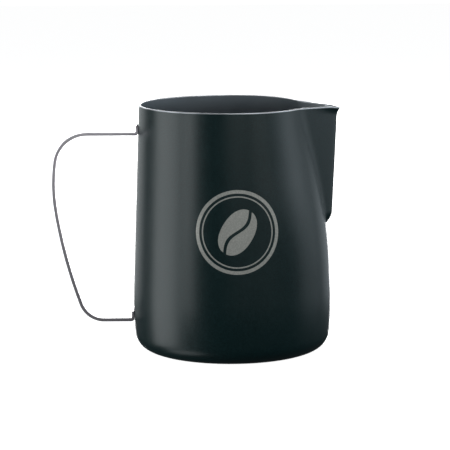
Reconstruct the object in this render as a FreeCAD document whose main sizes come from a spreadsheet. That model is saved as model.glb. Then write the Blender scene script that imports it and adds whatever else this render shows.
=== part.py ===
import FreeCAD, Part
import math
import os
import Sketcher

# Milk frothing pitcher: a drawn stainless cup with a pressed V spout and a bent strip handle.
# Frame: +Z up, the cup's axis is Z, its standing face is z = 0, the spout points along +X and
# the handle along -X.  Millimetres and degrees.

DIMENSIONS = {
    # cup
    "body_height": 110.0,
    "rim_radius": 41.1,          # outside, away from the spout
    "wall_taper": 2.2,           # the cup widens downwards
    "belly_top": 27.0,           # where the straight wall runs into the belly arc
    "belly_arc": 160.0,
    "base_corner": 7.8,
    "wall_sheet": 0.8,
    "base_recess_radius": 32.0,
    "base_recess_depth": 0.7,
    "base_recess_slope": 1.2,    # run of the recess's sloping edge
    # spout
    "spout_overhang": 6.45,      # ridge beyond the rim's circle
    "spout_lean": 2.8,           # ridge from upright
    "spout_half_angle": 45.0,    # one wall of the V from the spout's middle plane
    "spout_length": 48.3,        # from the rim to the chin's start
    "chin_round": 7.0,
    "chin_slope": 47.0,
    "ridge_round": 1.5,
    "crease_blend": 1.4,
    "flank_press": 6.2,          # how far the flanks beside the spout are pushed in
    "flank_length": 72.0,        # from the rim down to where the flanks fade out
    "flank_near": 20.0,          # full depth up to this angle from the spout
    "flank_far": 82.0,           # no depth from this angle on
    "flank_far_low": 60.0,       # the same at the flanks' lower end
    "lip_flare": 1.45,
    "lip_length": 3.4,
    "lip_half_width": 7.0,
    "rim_dip": 1.35,             # the rim sinks this far towards the spout
    "rim_dip_spread": 26.0,
    "tip_drop": 0.7,             # the lip's very tip curls down further
    "tip_drop_spread": 5.0,
    # handle
    "strap_width": 12.0,
    "strap_sheet": 1.5,
    "strap_edge": 0.15,
    "handle_reach": 79.1,        # the bow's middle line from the cup's axis
    "upper_run_drop": 12.7,      # upper run below the rim
    "lower_run_height": 13.4,
    "bow_drop": 23.3,            # the bow's widest point below the upper run
    "bow_change": 10.2,          # where the bow eases, below its widest point
    "top_bend": 14.5,
    "bow_arc": 73.0,
    "bottom_bend": 11.0,
    "lower_run_length": 13.05,   # from the lower tab to the bottom bend's middle
    "tab_bend": 1.2,
    "tab_press": 0.45,           # how much thinner the tabs are pressed
    "upper_tab_length": 3.1,     # above its run's middle line
    "lower_tab_length": 3.9,
    # welds
    "seat_gap": 0.02,            # between the wall and the tabs welded to it
    "weld_radius": 0.8,
    "weld_pitch": 5.6,
    "weld_sink": 0.12,
}

doc = FreeCAD.newDocument("milk_pitcher")
sheet = doc.addObject("Spreadsheet::Sheet", "Sizes")
for row, (alias, value) in enumerate(DIMENSIONS.items(), start=1):
    sheet.set("A%d" % row, alias)
    sheet.set("B%d" % row, str(value))
    sheet.setAlias("B%d" % row, alias)
doc.recompute()


def size(alias):
    return float(sheet.get(alias))


# ---------------------------------------------------------------- the cup's plain wall
height = size("body_height")
rim_radius = size("rim_radius")
sheet_gauge = size("wall_sheet")
taper = math.radians(size("wall_taper"))
belly_top = size("belly_top")
belly_arc = size("belly_arc")
corner = size("base_corner")

belly_centre_r = rim_radius + (height - belly_top) * math.tan(taper) - belly_arc * math.cos(taper)
belly_centre_z = belly_top - belly_arc * math.sin(taper)
corner_centre_r = belly_centre_r + math.sqrt(
    (belly_arc - corner) ** 2 - (belly_centre_z - corner) ** 2)
corner_end_angle = math.asin((belly_centre_z - corner) / (belly_arc - corner))
corner_end_z = corner - corner * math.sin(corner_end_angle)


def plain_radius(z):
    """Outside radius of the round wall at height z, above the base corner."""
    if z >= belly_top:
        return rim_radius + (height - z) * math.tan(taper)
    return belly_centre_r + math.sqrt(belly_arc ** 2 - (z - belly_centre_z) ** 2)


# ---------------------------------------------------------------- the pressed spout
flank_near = math.radians(size("flank_near"))
flank_far = math.radians(size("flank_far"))
flank_far_low = math.radians(size("flank_far_low"))
spout_cot = 1.0 / math.tan(math.radians(size("spout_half_angle")))
chin_slope = math.radians(size("chin_slope"))
chin_round = size("chin_round")
chin_z = height - size("spout_length")


def ease(share):
    """Smooth rise from 0 to 1."""
    share = min(max(share, 0.0), 1.0)
    return share * share * (3.0 - 2.0 * share)


def flank_radius(angle, z):
    """Round wall with the two flanks beside the spout pressed in."""
    up = (z - height + size("flank_length")) / (size("flank_length") + 8.0)
    far = flank_far_low + (flank_far - flank_far_low) * ease(up * 1.6)
    around = (far - angle) / (far - flank_near)
    return plain_radius(z) - size("flank_press") * ease(up) * ease(around)


def ridge_distance(z):
    """The spout's ridge from the axis; below the chin it runs back into the wall."""
    distance = rim_radius + size("spout_overhang")
    distance -= (height - z) * math.tan(math.radians(size("spout_lean")))
    below = chin_z - z
    arc_end = chin_round * math.sin(chin_slope)
    if below > arc_end:
        distance -= chin_round * (1.0 - math.cos(chin_slope))
        distance -= (below - arc_end) * math.tan(chin_slope)
    elif below > 0.0:
        distance -= chin_round - math.sqrt(chin_round ** 2 - below ** 2)
    return max(distance, rim_radius / 2.0)


def spout_radius(angle, z):
    """The V of the spout with its ridge rounded, as a distance from the axis."""
    rounding = size("ridge_round")
    apex = ridge_distance(z) + spout_cot * rounding
    angle = min(angle, math.radians(90.0 - size("spout_half_angle")))
    c = math.cos(angle)
    k = c * c - (spout_cot * math.sin(angle)) ** 2
    rest = apex ** 2 - (spout_cot * rounding) ** 2
    return rest / (apex * c + math.sqrt((apex * c) ** 2 - k * rest))


def rim_height(angle):
    """The rim dips towards the spout's tip."""
    spread = size("rim_dip_spread")
    degrees = math.degrees(angle)
    away = math.sqrt(degrees ** 2 + 16.0) - 4.0
    dip = size("rim_dip") * math.exp(-away / spread) * ease((170.0 - degrees) / 80.0)
    tip = size("tip_drop") * math.exp(-(degrees / size("tip_drop_spread")) ** 2)
    return height - dip - tip


def wall_radius(angle, z):
    """Outside of the cup at any angle from the spout (0 to pi) and any height."""
    flank = flank_radius(angle, z)
    spout = spout_radius(angle, z)
    blend = size("crease_blend")
    nearness = max(blend - abs(flank - spout), 0.0) / blend
    radius = max(flank, spout) + nearness * nearness * blend / 4.0
    lip = 1.0 - (rim_height(angle) - z) / size("lip_length")
    if lip > 0.0:
        aside = radius * math.sin(angle) / size("lip_half_width")
        if angle < math.pi / 2.0:
            radius += size("lip_flare") * lip * lip * math.exp(-aside * aside)
    return radius


def spread(start, end, count):
    """Evenly spaced values from start up to but not including end."""
    return [start + (end - start) * i / count for i in range(count)]


# Heights of the rows the wall is drawn through, closer together at the chin and at the lip.
rim_edge = sheet_gauge / 2.0
row_heights = spread(corner_end_z, chin_z - 9.0, 12)
row_heights += spread(chin_z - 9.0, chin_z + 3.0, 13)
row_heights += spread(chin_z + 3.0, height - 6.0, 11)
row_heights += spread(height - 6.0, height - rim_edge, 8) + [height - rim_edge]

COLUMNS = 120
CLOSENESS = 0.8      # columns are this much closer together at the spout than evenly
column_turns = [i / COLUMNS for i in range(COLUMNS + 1)]


def column_angle(turn):
    full = 2.0 * math.pi * turn
    return full - CLOSENESS * math.sin(full)


def wall_point(angle, z_nominal):
    """A point on the outside.  Near the rim the rows follow its dip."""
    around = min(angle % (2.0 * math.pi), 2.0 * math.pi - angle % (2.0 * math.pi))
    follow = ease((z_nominal - (height - 30.0)) / 30.0)
    z = z_nominal - (height - rim_height(around)) * follow
    radius = wall_radius(around, z)
    return FreeCAD.Vector(radius * math.cos(angle), radius * math.sin(angle), z)


def wall_frame(angle, z):
    """Point on the outside, the upward direction along the wall and the inward normal."""
    reach = 0.02
    point = wall_point(angle, z)
    up = (wall_point(angle, z + reach) - wall_point(angle, z - reach)).normalize()
    turn = reach / rim_radius
    along = (wall_point(angle + turn, z) - wall_point(angle - turn, z)).normalize()
    inward = up.cross(along).normalize()
    return point, up, inward


def column_points(angle):
    """One line over the whole skin: base corner, outside, over the rim, inside, floor corner."""
    direction = FreeCAD.Vector(math.cos(angle), math.sin(angle), 0.0)
    outside, inside = [], []
    lift = FreeCAD.Vector(0.0, 0.0, 1.0)
    centre = direction * corner_centre_r + lift * corner
    for step in spread(math.pi / 2.0, corner_end_angle, 7):
        swing = direction * math.cos(step) - lift * math.sin(step)
        outside.append(centre + swing * corner)
        inside.append(centre + swing * (corner - sheet_gauge))
    for z in row_heights:
        point, up, inward = wall_frame(angle, z)
        outside.append(point)
        inside.append(point + inward * sheet_gauge)
    middle = point + inward * rim_edge
    rim = []
    for step in range(1, 6):
        swing = math.pi * step / 6.0
        rim.append(middle - inward * (rim_edge * math.cos(swing)) + up * (rim_edge * math.sin(swing)))
    return outside + rim + inside[::-1]


def curve_through(points, parameters, closed):
    curve = Part.BSplineCurve()
    curve.interpolate(Points=points, PeriodicFlag=closed, Parameters=parameters)
    return curve


def surface_through(columns):
    """Cubic surface through a grid: columns run round the cup, rows run over the skin."""
    plain = columns[COLUMNS // 2]
    lengths = [0.0]
    for before, after in zip(plain, plain[1:]):
        lengths.append(lengths[-1] + before.distanceToPoint(after))
    rings = []
    for row_points in zip(*columns):
        ring = curve_through(list(row_points), column_turns, True)
        rings.append(ring.getPoles())
    net = []
    for column_poles in zip(*rings):
        line = curve_through(list(column_poles), lengths, False)
        net.append(line.getPoles())
    surface = Part.BSplineSurface()
    surface.buildFromPolesMultsKnots(
        net, ring.getMultiplicities(), line.getMultiplicities(),
        ring.getKnots(), line.getKnots(), True, False, 3, 3)
    return surface


def disc(z, outer_edge, inner_radius):
    """Flat ring at height z between an outer edge and a circle."""
    hole = Part.Wire(Part.makeCircle(inner_radius, FreeCAD.Vector(0, 0, z)))
    return Part.makeFace([Part.Wire(outer_edge), hole], "Part::FaceMakerBullseye")


def floor_faces(z, outer_edge, recess_radius):
    """Standing ring, sloping step and raised middle of the base, outside or inside."""
    depth = size("base_recess_depth")
    top_radius = recess_radius - size("base_recess_slope")
    slope = Part.makeLine(FreeCAD.Vector(recess_radius, 0, z),
                          FreeCAD.Vector(top_radius, 0, z + depth))
    step = slope.revolve(FreeCAD.Vector(0, 0, 0), FreeCAD.Vector(0, 0, 1), 360)
    middle = Part.Face(Part.Wire(Part.makeCircle(top_radius, FreeCAD.Vector(0, 0, z + depth))))
    return [disc(z, outer_edge, recess_radius), step, middle]


skin_columns = [column_points(column_angle(turn)) for turn in column_turns[:-1]]
skin = surface_through(skin_columns).toShape()
rings = [edge for edge in skin.Edges if edge.isClosed() and edge.BoundBox.ZLength < 0.001]
rings.sort(key=lambda edge: edge.BoundBox.ZMin)
recess_radius = size("base_recess_radius")
faces = [skin]
faces += floor_faces(0.0, rings[0], recess_radius)
faces += floor_faces(sheet_gauge, rings[1], recess_radius - sheet_gauge * 0.35)
shell = Part.Shell(faces)
shell.sewShape()
shell = shell.Shells[0]
cup = Part.Solid(shell)
if cup.Volume < 0.0:
    cup.reverse()

pitcher_body = doc.addObject("Part::Feature", "pitcher_body")
pitcher_body.Label = "pitcher_body"
pitcher_body.Shape = cup
pitcher_body.Placement = FreeCAD.Placement()

# ---------------------------------------------------------------- sketch helpers


def new_body(name):
    body = doc.addObject("PartDesign::Body", name)
    body.Label = name
    body.Placement = FreeCAD.Placement()
    return body


def origin_plane(body, role):
    return next(f for f in body.Origin.OriginFeatures if f.Role == role)


def new_sketch(body, name, role):
    sketch = body.newObject("Sketcher::SketchObject", name)
    sketch.AttachmentSupport = [(origin_plane(body, role), "")]
    sketch.MapMode = "FlatFace"
    return sketch


def bind(sketch, constraint, name, expression):
    """Adds a sized constraint and ties it to the sheet."""
    index = sketch.addConstraint(constraint)
    sketch.renameConstraint(index, name)
    sketch.setExpression("Constraints." + name, expression)


def point2(x, z):
    return FreeCAD.Vector(x, z, 0.0)


def segment(a, b):
    return Part.LineSegment(a, b)


def arc(centre, radius, start, end):
    circle = Part.Circle(centre, FreeCAD.Vector(0, 0, 1), radius)
    return Part.ArcOfCircle(circle, start, end)


TAPER = "Sizes.wall_taper * 1 deg"
BELLY_X = ("Sizes.belly_arc * cos({0}) - Sizes.rim_radius"
           " - (Sizes.body_height - Sizes.belly_top) * tan({0})").format(TAPER)
BELLY_Z = "Sizes.belly_top - Sizes.belly_arc * sin({0})".format(TAPER)


def cut_to_wall(body, name):
    """Takes the round wall, with the seat gap, out of a piece that is welded to it."""
    sketch = new_sketch(body, name + "_outline", "XZ_Plane")
    gap = size("seat_gap")
    centre = point2(-belly_centre_r, belly_centre_z)
    start = math.pi - taper
    end = math.pi + math.asin((belly_centre_z - corner) / (belly_arc + gap))
    upper = centre + point2(math.cos(start), math.sin(start)) * (belly_arc + gap)
    lower = centre + point2(math.cos(end), math.sin(end)) * (belly_arc + gap)
    top = point2(-rim_radius - gap / math.cos(taper), height)
    sketch.addGeometry([
        arc(centre, belly_arc + gap, start, end),
        segment(top, upper),
        segment(point2(0.0, top.y), top),
        segment(point2(0.0, lower.y), point2(0.0, top.y)),
        segment(lower, point2(0.0, lower.y)),
    ])
    sketch.addConstraint([
        Sketcher.Constraint("Tangent", 1, 2, 0, 1),
        Sketcher.Constraint("Coincident", 2, 2, 1, 1),
        Sketcher.Constraint("Coincident", 3, 2, 2, 1),
        Sketcher.Constraint("Coincident", 4, 2, 3, 1),
        Sketcher.Constraint("Coincident", 0, 2, 4, 1),
        Sketcher.Constraint("Horizontal", 2),
        Sketcher.Constraint("Horizontal", 4),
        Sketcher.Constraint("Vertical", 3),
        Sketcher.Constraint("PointOnObject", 3, 1, -2),
    ])
    bind(sketch, Sketcher.Constraint("DistanceX", -1, 1, 0, 3, centre.x), "centre_x", BELLY_X)
    bind(sketch, Sketcher.Constraint("DistanceY", -1, 1, 0, 3, centre.y), "centre_z", BELLY_Z)
    bind(sketch, Sketcher.Constraint("Radius", 0, belly_arc + gap), "belly",
         "Sizes.belly_arc + Sizes.seat_gap")
    bind(sketch, Sketcher.Constraint("DistanceX", 1, 1, -1, 1, -top.x), "rim",
         "Sizes.rim_radius + Sizes.seat_gap / cos({0})".format(TAPER))
    bind(sketch, Sketcher.Constraint("DistanceY", -1, 1, 3, 2, height), "top", "Sizes.body_height")
    bind(sketch, Sketcher.Constraint("DistanceY", -1, 1, 3, 1, corner), "foot", "Sizes.base_corner")
    doc.recompute()
    before = body.Tip.Shape.Volume
    groove = body.newObject("PartDesign::Groove", name)
    groove.Profile = sketch
    groove.ReferenceAxis = (sketch, ["V_Axis"])
    groove.Angle = 360.0
    doc.recompute()
    if not groove.Shape.Volume < before:
        raise RuntimeError(name + " takes nothing away")


# ---------------------------------------------------------------- the handle
half_strap = size("strap_width") / 2.0
gauge = size("strap_sheet")
bend = size("tab_bend")
upper_tab = size("upper_tab_length")
lower_tab = size("lower_tab_length")
upper_z = height - size("upper_run_drop")
lower_z = size("lower_run_height")
bow_z = upper_z - size("bow_drop")
change_z = bow_z - size("bow_change")

# A tab lies on the chord of the wall across the strap's width, pressed thinner, and its
# inner face is hollowed to fit the wall.
WALL_UP = ("(Sizes.rim_radius + Sizes.upper_run_drop * tan({0}))").format(TAPER)
WALL_LOW = ("(Sizes.rim_radius + (Sizes.body_height - Sizes.belly_top) * tan({0})"
            " + Sizes.belly_arc * (1 - cos({0})))").format(TAPER)
TAB_X = ("sqrt({0} ^ 2 - (Sizes.strap_width / 2) ^ 2) + Sizes.strap_sheet / 2"
         " - Sizes.tab_press")
UPPER_TAB_X = TAB_X.format(WALL_UP)
LOWER_TAB_X = TAB_X.format(WALL_LOW)
wall_up = rim_radius + size("upper_run_drop") * math.tan(taper)
wall_low = belly_centre_r + belly_arc
upper_tab_x = math.sqrt(wall_up ** 2 - half_strap ** 2) + gauge / 2.0 - size("tab_press")
lower_tab_x = math.sqrt(wall_low ** 2 - half_strap ** 2) + gauge / 2.0 - size("tab_press")

top_bend = size("top_bend")
bow_arc = size("bow_arc")
bottom_bend = size("bottom_bend")
bow_centre = point2(bow_arc - size("handle_reach"), bow_z)
top_centre = point2(
    bow_centre.x - math.sqrt((bow_arc - top_bend) ** 2 - (upper_z - top_bend - bow_z) ** 2),
    upper_z - top_bend)
bottom_centre = point2(-lower_tab_x - size("lower_run_length"), lower_z + bottom_bend)
change_angle = math.asin(size("bow_change") / bow_arc)
change = bow_centre - point2(math.cos(change_angle), math.sin(change_angle)) * bow_arc
toward = point2(math.cos(change_angle), math.sin(change_angle))
offset = change - bottom_centre
ease_arc = (bottom_bend ** 2 - offset.dot(offset)) / (2.0 * (offset.dot(toward) + bottom_bend))
ease_centre = change + toward * ease_arc


def heading(from_point, to_point):
    line = to_point - from_point
    return math.atan2(line.y, line.x) % (2.0 * math.pi)


handle_strap = new_body("handle_strap")
path = new_sketch(handle_strap, "strap_path", "XZ_Plane")
top_join = heading(bow_centre, top_centre)
change_join = heading(bow_centre, change)
bottom_join = heading(ease_centre, bottom_centre)
path.addGeometry([
    segment(point2(-upper_tab_x, upper_z + upper_tab), point2(-upper_tab_x, upper_z + bend)),
    arc(point2(-upper_tab_x - bend, upper_z + bend), bend, -math.pi / 2.0, 0.0),
    segment(point2(-upper_tab_x - bend, upper_z), point2(top_centre.x, upper_z)),
    arc(top_centre, top_bend, math.pi / 2.0, top_join),
    arc(bow_centre, bow_arc, top_join, change_join),
    arc(ease_centre, ease_arc, change_join, bottom_join),
    arc(bottom_centre, bottom_bend, bottom_join, 1.5 * math.pi),
    segment(point2(bottom_centre.x, lower_z), point2(-lower_tab_x - bend, lower_z)),
    arc(point2(-lower_tab_x - bend, lower_z + bend), bend, -math.pi / 2.0, 0.0),
    segment(point2(-lower_tab_x, lower_z + bend), point2(-lower_tab_x, lower_z + lower_tab)),
])
path.addConstraint([
    Sketcher.Constraint("Tangent", 0, 2, 1, 2),
    Sketcher.Constraint("Tangent", 1, 1, 2, 1),
    Sketcher.Constraint("Tangent", 2, 2, 3, 1),
    Sketcher.Constraint("Tangent", 3, 2, 4, 1),
    Sketcher.Constraint("Tangent", 4, 2, 5, 1),
    Sketcher.Constraint("Tangent", 5, 2, 6, 1),
    Sketcher.Constraint("Tangent", 6, 2, 7, 1),
    Sketcher.Constraint("Tangent", 7, 2, 8, 1),
    Sketcher.Constraint("Tangent", 8, 2, 9, 1),
    Sketcher.Constraint("Vertical", 0),
    Sketcher.Constraint("Vertical", 9),
    Sketcher.Constraint("Horizontal", 2),
    Sketcher.Constraint("Horizontal", 7),
])
UPPER_Z = "Sizes.body_height - Sizes.upper_run_drop"
BOW_Z = UPPER_Z + " - Sizes.bow_drop"
for geometry, name, alias in (
        (1, "upper_tab_bend", "tab_bend"), (8, "lower_tab_bend", "tab_bend"),
        (3, "top_bend", "top_bend"), (4, "bow_arc", "bow_arc"), (6, "bottom_bend", "bottom_bend")):
    bind(path, Sketcher.Constraint("Radius", geometry, size(alias)), name, "Sizes." + alias)
for geometry, corner_of, name, value, expression in (
        (0, 1, "upper_tab_x", upper_tab_x, UPPER_TAB_X),
        (9, 2, "lower_tab_x", lower_tab_x, LOWER_TAB_X),
        (4, 3, "bow_reach", -bow_centre.x, "Sizes.handle_reach - Sizes.bow_arc"),
        (6, 3, "bottom_reach", -bottom_centre.x, LOWER_TAB_X + " + Sizes.lower_run_length")):
    bind(path, Sketcher.Constraint("DistanceX", geometry, corner_of, -1, 1, value), name, expression)
for geometry, corner_of, name, value, expression in (
        (0, 1, "upper_tab_top", upper_z + upper_tab, UPPER_Z + " + Sizes.upper_tab_length"),
        (2, 1, "upper_run", upper_z, UPPER_Z),
        (4, 3, "bow_middle", bow_z, BOW_Z),
        (5, 1, "bow_change", change_z, BOW_Z + " - Sizes.bow_change"),
        (7, 1, "lower_run", lower_z, "Sizes.lower_run_height"),
        (9, 2, "lower_tab_top", lower_z + lower_tab,
         "Sizes.lower_run_height + Sizes.lower_tab_length")):
    bind(path, Sketcher.Constraint("DistanceY", -1, 1, geometry, corner_of, value), name, expression)
doc.recompute()

# The strip's section, at the upper tab's end, with its long edges rounded.
section = new_sketch(handle_strap, "strap_section", "XY_Plane")
section.setExpression("AttachmentOffset.Base.z", UPPER_Z + " + Sizes.upper_tab_length")
edge = size("strap_edge")
x_in, x_out = -upper_tab_x + gauge / 2.0, -upper_tab_x - gauge / 2.0
section.addGeometry([
    segment(point2(x_out + edge, -half_strap), point2(x_in - edge, -half_strap)),
    arc(point2(x_in - edge, -half_strap + edge), edge, -math.pi / 2.0, 0.0),
    segment(point2(x_in, -half_strap + edge), point2(x_in, half_strap - edge)),
    arc(point2(x_in - edge, half_strap - edge), edge, 0.0, math.pi / 2.0),
    segment(point2(x_in - edge, half_strap), point2(x_out + edge, half_strap)),
    arc(point2(x_out + edge, half_strap - edge), edge, math.pi / 2.0, math.pi),
    segment(point2(x_out, half_strap - edge), point2(x_out, -half_strap + edge)),
    arc(point2(x_out + edge, -half_strap + edge), edge, math.pi, 1.5 * math.pi),
])
section.addConstraint(
    [Sketcher.Constraint("Tangent", side, 2, (side + 1) % 8, 1) for side in range(8)]
    + [Sketcher.Constraint("Horizontal", 0), Sketcher.Constraint("Vertical", 2),
       Sketcher.Constraint("Equal", 1, 3), Sketcher.Constraint("Equal", 1, 5),
       Sketcher.Constraint("Equal", 1, 7)])
bind(section, Sketcher.Constraint("Radius", 1, edge), "edge", "Sizes.strap_edge")
bind(section, Sketcher.Constraint("DistanceX", 2, 1, -1, 1, -x_in), "inner_face",
     UPPER_TAB_X + " - Sizes.strap_sheet / 2")
bind(section, Sketcher.Constraint("DistanceX", 6, 1, -1, 1, -x_out), "outer_face",
     UPPER_TAB_X + " + Sizes.strap_sheet / 2")
bind(section, Sketcher.Constraint("DistanceY", 0, 1, -1, 1, half_strap), "near_edge",
     "Sizes.strap_width / 2")
bind(section, Sketcher.Constraint("DistanceY", -1, 1, 4, 1, half_strap), "far_edge",
     "Sizes.strap_width / 2")
doc.recompute()

strap = handle_strap.newObject("PartDesign::AdditivePipe", "strap")
strap.Profile = section
strap.Spine = (path, ["Edge%d" % (i + 1) for i in range(10)])
doc.recompute()
cut_to_wall(handle_strap, "wall_seat")

# ---------------------------------------------------------------- the spot welds
WELD_TABS = {
    "upper": (UPPER_TAB_X, upper_z + (upper_tab + bend) / 2.0,
              UPPER_Z + " + (Sizes.upper_tab_length + Sizes.tab_bend) / 2"),
    "lower": (LOWER_TAB_X, lower_z + (lower_tab + bend) / 2.0,
              "Sizes.lower_run_height + (Sizes.lower_tab_length + Sizes.tab_bend) / 2"),
}
SIDES = {"front": -1.0, "rear": 1.0}


def weld_circle(body, name, spot_z, expression_z, side):
    """Circle of one weld on the plane across the handle, facing along X."""
    sketch = new_sketch(body, name, "YZ_Plane")
    y = side * size("weld_pitch") / 2.0
    sketch.addGeometry(Part.Circle(point2(y, spot_z), FreeCAD.Vector(0, 0, 1), size("weld_radius")))
    bind(sketch, Sketcher.Constraint("Radius", 0, size("weld_radius")), "spot", "Sizes.weld_radius")
    first, second = ((0, 3), (-1, 1)) if side < 0 else ((-1, 1), (0, 3))
    bind(sketch, Sketcher.Constraint("DistanceX", *first, *second, abs(y)), "aside",
         "Sizes.weld_pitch / 2")
    bind(sketch, Sketcher.Constraint("DistanceY", -1, 1, 0, 3, spot_z), "up", expression_z)
    return sketch


for level, (tab_expression, z, z_expression) in WELD_TABS.items():
    for side_name, side in SIDES.items():
        name = "%s_weld_%s" % (level, side_name)
        hole_sketch = weld_circle(handle_strap, name + "_hole_circle", z, z_expression, side)
        doc.recompute()
        before = handle_strap.Tip.Shape.Volume
        hole = handle_strap.newObject("PartDesign::Pocket", name + "_hole")
        hole.Profile = hole_sketch
        hole.SideType = "One side"
        hole.Type = "Length"
        hole.setExpression("Length", tab_expression + " + Sizes.strap_sheet")
        doc.recompute()
        if not hole.Shape.Volume < before:
            hole.Reversed = True
            doc.recompute()
        if not hole.Shape.Volume < before:
            raise RuntimeError(name + " hole takes nothing away")

        weld = new_body(name)
        spot = weld_circle(weld, name + "_circle", z, z_expression, side)
        pad = weld.newObject("PartDesign::Pad", name + "_pad")
        pad.Profile = spot
        pad.setExpression("Length", tab_expression + " + Sizes.strap_sheet / 2 - Sizes.weld_sink")
        pad.Reversed = True
        doc.recompute()
        cut_to_wall(weld, name + "_seat")

# ---------------------------------------------------------------- checks and files
doc.recompute()
for item in doc.Objects:
    if "Invalid" in item.State or "Error" in item.State:
        raise RuntimeError("%s did not compute: %s" % (item.Name, item.State))

NODES = ["pitcher_body", "handle_strap"]
NODES += ["%s_weld_%s" % (level, side) for level in WELD_TABS for side in SIDES]
os.makedirs("parts", exist_ok=True)
for node in NODES:
    shape = doc.getObject(node).Shape
    if shape.isNull() or not shape.isValid() or len(shape.Solids) != 1:
        raise RuntimeError(node + " is not one valid solid")
for node in NODES:
    doc.getObject(node).Shape.exportStep("parts/%s.step" % node)
    bounds = doc.getObject(node).Shape.BoundBox
    print(node, round(doc.getObject(node).Shape.Volume, 2),
          [round(v, 2) for v in (bounds.XMin, bounds.XMax, bounds.YMin, bounds.YMax,
                                 bounds.ZMin, bounds.ZMax)])
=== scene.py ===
import math
from collections import Counter

import bpy
from mathutils import Matrix, Vector


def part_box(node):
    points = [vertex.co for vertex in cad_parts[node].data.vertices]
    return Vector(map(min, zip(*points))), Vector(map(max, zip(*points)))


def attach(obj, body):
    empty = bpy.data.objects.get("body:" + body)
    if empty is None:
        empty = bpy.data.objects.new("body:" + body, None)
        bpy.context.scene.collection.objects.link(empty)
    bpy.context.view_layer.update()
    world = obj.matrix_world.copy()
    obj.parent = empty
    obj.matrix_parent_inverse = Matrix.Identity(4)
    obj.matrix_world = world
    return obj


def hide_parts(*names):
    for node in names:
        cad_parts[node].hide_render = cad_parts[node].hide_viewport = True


bl_info = {
    "name": "Milk Frothing Pitcher",
    "version": (1, 0, 0),
    "blender": (4, 5, 0),
    "location": "3D View > Sidebar > Pitcher",
    "description": "Builds a coated steel milk frothing pitcher with a pressed spout and a strip handle",
    "category": "Object",
}

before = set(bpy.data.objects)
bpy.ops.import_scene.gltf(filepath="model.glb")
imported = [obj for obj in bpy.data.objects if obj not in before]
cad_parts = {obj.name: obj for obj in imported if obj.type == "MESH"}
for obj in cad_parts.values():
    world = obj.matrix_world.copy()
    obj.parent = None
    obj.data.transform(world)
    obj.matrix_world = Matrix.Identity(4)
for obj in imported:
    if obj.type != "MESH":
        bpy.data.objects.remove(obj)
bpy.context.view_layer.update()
BODY = "root"
CUP_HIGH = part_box("pitcher_body")[1]
STRAP_LOW, STRAP_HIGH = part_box("handle_strap")
MM = 0.001
SEAT_GAP = 0.02 * MM    # between the wall and the tabs welded to it
SAME = 1e-6             # metres within which two places count as one


# ------------------------------------------------------------------ sizes and finishes


def size_of(name, description, metres, precision=4):
    """Length shown in the panel."""
    return bpy.props.FloatProperty(
        name=name, description=description, default=metres,
        unit="LENGTH", subtype="DISTANCE", precision=precision)


def angle_of(name, description, degrees):
    """Angle shown in the panel; held in radians."""
    return bpy.props.FloatProperty(
        name=name, description=description, default=math.radians(degrees),
        unit="ROTATION", subtype="ANGLE")


def amount_of(name, description, value):
    """Plain number shown in the panel."""
    return bpy.props.FloatProperty(name=name, description=description, default=value)


def colour_of(name, description, colour):
    """Colour shown in the panel."""
    return bpy.props.FloatVectorProperty(
        name=name, description=description, default=colour,
        subtype="COLOR", size=3, min=0.0, max=1.0)


class CupSizes(bpy.types.PropertyGroup):
    """Sizes of the drawn cup."""

    height: size_of("Height", "Rim above the standing face", CUP_HIGH.z)
    rim_radius: size_of("Rim Radius", "Outside radius at the rim, away from the spout", 41.1 * MM)
    taper: angle_of("Taper", "Lean of the straight wall; the cup widens downwards", 2.2)
    belly_top: size_of("Belly Top", "Height where the straight wall runs into the belly", 27.0 * MM)
    belly_arc: size_of("Belly Arc", "Radius of the belly's long arc", 160.0 * MM)
    corner: size_of("Base Corner", "Radius between wall and base", 7.8 * MM)
    gauge: size_of("Sheet Gauge", "Thickness of the coated sheet", 0.8 * MM, 5)
    recess_radius: size_of("Recess Radius", "Inner edge of the standing ring", 32.0 * MM)
    recess_depth: size_of("Recess Depth", "Rise of the base inside the standing ring", 0.7 * MM, 5)
    recess_slope: size_of("Recess Slope", "Width of the sloping step to the raised base", 1.2 * MM)


class SpoutSizes(bpy.types.PropertyGroup):
    """Sizes of the pressed spout."""

    overhang: size_of("Overhang", "Ridge beyond the rim's circle", 6.45 * MM)
    lean: angle_of("Lean", "Ridge from upright", 2.8)
    half_angle: angle_of("Half Angle", "One wall of the V from the middle plane", 45.0)
    length: size_of("Length", "From the rim down to where the chin starts", 48.3 * MM)
    chin_round: size_of("Chin Rounding", "Radius under the spout", 7.0 * MM)
    chin_slope: angle_of("Chin Slope", "Slope by which the chin runs back into the wall", 47.0)
    ridge_round: size_of("Ridge Rounding", "Rounding of the spout's ridge", 1.5 * MM)
    crease_blend: size_of("Crease Blend", "Softness of the creases beside the spout", 1.4 * MM)
    flank_press: size_of("Flank Press", "How far the flanks beside the spout are pushed in", 6.2 * MM)
    flank_length: size_of("Flank Length", "From the rim to where the flanks fade out", 72.0 * MM)
    flank_near: angle_of("Flank Near", "Where a flank is deepest, from the spout", 20.0)
    flank_far: angle_of("Flank Far", "Where a flank ends at the rim, from the spout", 82.0)
    flank_far_low: angle_of("Flank Far Low", "Where a flank ends at its foot, from the spout", 60.0)
    lip_flare: size_of("Lip Flare", "Outward curl of the pouring lip", 1.45 * MM)
    lip_length: size_of("Lip Length", "Height over which the lip curls", 3.4 * MM)
    lip_half_width: size_of(
        "Lip Half Width", "Distance to each side over which the lip's curl fades", 7.0 * MM)
    rim_dip: size_of("Rim Dip", "How far the rim sinks towards the spout", 1.35 * MM)
    rim_dip_spread: angle_of("Rim Dip Spread", "Angle over which the rim rises again", 26.0)
    tip_drop: size_of("Tip Drop", "Extra downward curl of the lip's very tip", 0.7 * MM)
    tip_drop_spread: angle_of("Tip Drop Spread", "Angle over which that curl fades", 5.0)


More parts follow.
